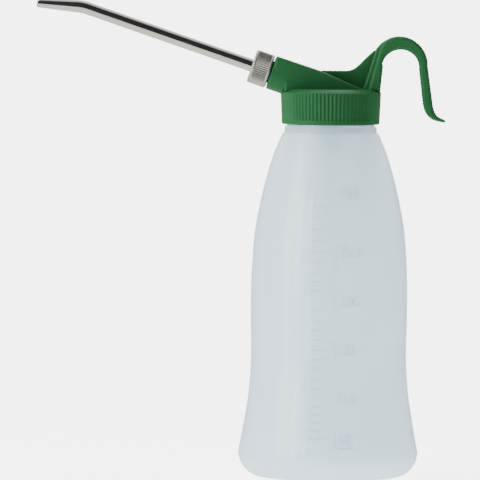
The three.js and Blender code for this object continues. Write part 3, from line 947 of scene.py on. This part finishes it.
# CAD nodes that stay: slot, colour, roughness, metallic and how far the mottling darkens.
CAD_FINISHES = {
    "cap_seal": ("seal_foam", (0.78, 0.78, 0.73), 0.8, 0.0, 0.12),
    "tube_connector": ("blue_plastic", (0.02, 0.55, 0.75), 0.4, 0.0, 0.1),
    "dip_tube": ("natural_tube", (0.78, 0.83, 0.84), 0.4, 0.0, 0.06),
    "spout_gasket": ("black_rubber", (0.02, 0.02, 0.02), 0.7, 0.0, 0.4),
    "spout_ferrule": ("brass", (0.72, 0.5, 0.2), 0.3, 1.0, 0.15),
}
for node, (slot, colour, roughness, metallic, spread) in CAD_FINISHES.items():
    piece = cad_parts[node]
    piece.data.materials.clear()
    piece.data.materials.append(plain_finish(slot, colour, roughness, metallic, spread))

# ---------------------------------------------------------------- stage, light and camera, in metres

FLOOR_RADIUS = 40
FLOOR_SIDES = 64
FLOOR_LEVEL = -0.00005
FLOOR_GLOW = 4.0
TENT_FRONT = 0.1
TENT_BACK = 3.4
TENT_TOP = 0.6
TENT_HORIZON = 0.12
BOUNCE = 2.4
BOUNCE_BEHIND = 1.8
AIM = (-0.035, 0, 0.1)
CAMERA_AIM = (-0.0362, 0.0921)
CAMERA_DISTANCE = 3.12
CAMERA_ELEVATION = math.radians(2.8)
CAMERA_ROLL = math.radians(0.47)
CAMERA_LENS = 600
CAMERA_SENSOR = 36


def make_floor():
    """Pale floor that glows evenly, like a light table, and is large enough to fill every view.

    It is seen directly only: the world stands in for what it would reflect and throw back.
    """
    ring = [
        (FLOOR_RADIUS * math.cos(angle), FLOOR_RADIUS * math.sin(angle), FLOOR_LEVEL)
        for angle in even_angles(FLOOR_SIDES)
    ]
    mesh = bpy.data.meshes.new("floor")
    mesh.from_pydata(ring, [], [list(range(FLOOR_SIDES))])
    floor = bpy.data.objects.new("floor", mesh)
    scene.collection.objects.link(floor)
    f = Finish("floor_paper", (0.9, 0.9, 0.9), 0.9)
    f.set("Base Color", f.blend(f.noise(40), (0.9, 0.9, 0.9), (0.92, 0.92, 0.92)))
    f.shader.inputs["Emission Color"].default_value = (1, 1, 1, 1)
    f.shader.inputs["Emission Strength"].default_value = FLOOR_GLOW
    floor.visible_diffuse = False
    floor.visible_glossy = False
    floor.data.materials.append(f.material)


def area_light(name, place, size, energy):
    """A rectangular light at a place, turned towards the object."""
    light = bpy.data.lights.new(name, "AREA")
    light.shape = "RECTANGLE"
    light.size, light.size_y = size
    light.energy = energy
    lamp = bpy.data.objects.new(name, light)
    scene.collection.objects.link(lamp)
    lamp.location = place
    lamp.rotation_mode = "QUATERNION"
    direction = Vector(AIM) - Vector(place)
    lamp.rotation_quaternion = direction.to_track_quat("-Z", "Y")
    return lamp


def sun_light(name, direction, strength, spread):
    """A soft sun that shines along a direction, with its spread in degrees."""
    light = bpy.data.lights.new(name, "SUN")
    light.energy = strength
    light.angle = math.radians(spread)
    lamp = bpy.data.objects.new(name, light)
    scene.collection.objects.link(lamp)
    lamp.rotation_mode = "QUATERNION"
    lamp.rotation_quaternion = Vector(direction).to_track_quat("-Z", "Y")
    return lamp


def make_world():
    """A light tent: bright behind the object and dark at the horizon and in front of it.

    Below the horizon it gives the light that a pale floor throws back up.
    """
    world = bpy.data.worlds.new("studio")
    world.use_nodes = True
    nodes = world.node_tree.nodes
    links = world.node_tree.links
    place = nodes.new("ShaderNodeTexCoord")
    split = nodes.new("ShaderNodeSeparateXYZ")
    links.new(place.outputs["Generated"], split.inputs["Vector"])

    def ramp(axis, start, end, low, high):
        """A smooth change from low to high as the direction's axis goes from start to end."""
        node = nodes.new("ShaderNodeMapRange")
        node.interpolation_type = "SMOOTHSTEP"
        node.inputs["From Min"].default_value = start
        node.inputs["From Max"].default_value = end
        node.inputs["To Min"].default_value = low
        node.inputs["To Max"].default_value = high
        links.new(split.outputs[axis], node.inputs["Value"])
        return node.outputs["Result"]

    def combined(operation, first, second):
        """Two outputs added or multiplied."""
        node = nodes.new("ShaderNodeMath")
        node.operation = operation
        links.new(first, node.inputs[0])
        links.new(second, node.inputs[1])
        return node.outputs[0]

    tent = ramp("Y", -0.4, 0.35, TENT_FRONT, TENT_BACK)
    tent = combined("MULTIPLY", tent, ramp("Z", 0.2, 0.75, 1, TENT_TOP))
    tent = combined("MULTIPLY", tent, ramp("Z", 0.05, 0.25, TENT_HORIZON, 1))
    below = ramp("Z", -0.08, -0.4, 0, 1)
    bounce = combined("MULTIPLY", below, ramp("Y", -0.2, 0.7, BOUNCE, BOUNCE_BEHIND))
    links.new(combined("ADD", tent, bounce), nodes["Background"].inputs["Strength"])
    nodes["Background"].inputs["Color"].default_value = (0.96, 0.98, 1, 1)
    scene.world = world


def make_lights():
    """Soft light from the upper left, with a weak fill from the front and a strip for gloss."""
    sun_light("overhead", direction=(0.75, 0.35, -1), strength=1.7, spread=50)
    front_fill = sun_light("front_fill", direction=(0.4, 0.9, -0.3), strength=0.22, spread=90)
    front_fill.visible_glossy = False
    area_light("left", place=(-0.9, -0.4, 0.3), size=(0.25, 0.8), energy=9)
    strip = area_light("strip", place=(-0.8, -0.7, 0.3), size=(0.1, 0.5), energy=5)
    strip.visible_diffuse = False


def make_camera():
    """Long lens that looks down a little at CAMERA_AIM, an X and a Z in the plane Y = 0."""
    camera_data = bpy.data.cameras.new("camera")
    camera_data.lens = CAMERA_LENS
    camera_data.sensor_width = CAMERA_SENSOR
    camera_data.clip_end = 200
    camera = bpy.data.objects.new("camera", camera_data)
    scene.collection.objects.link(camera)
    camera.location = (
        CAMERA_AIM[0],
        -CAMERA_DISTANCE * math.cos(CAMERA_ELEVATION),
        CAMERA_AIM[1] + CAMERA_DISTANCE * math.sin(CAMERA_ELEVATION),
    )
    camera.rotation_euler = (math.pi / 2 - CAMERA_ELEVATION, -CAMERA_ROLL, 0)
    return camera


make_floor()
make_world()
make_lights()
scene.camera = make_camera()
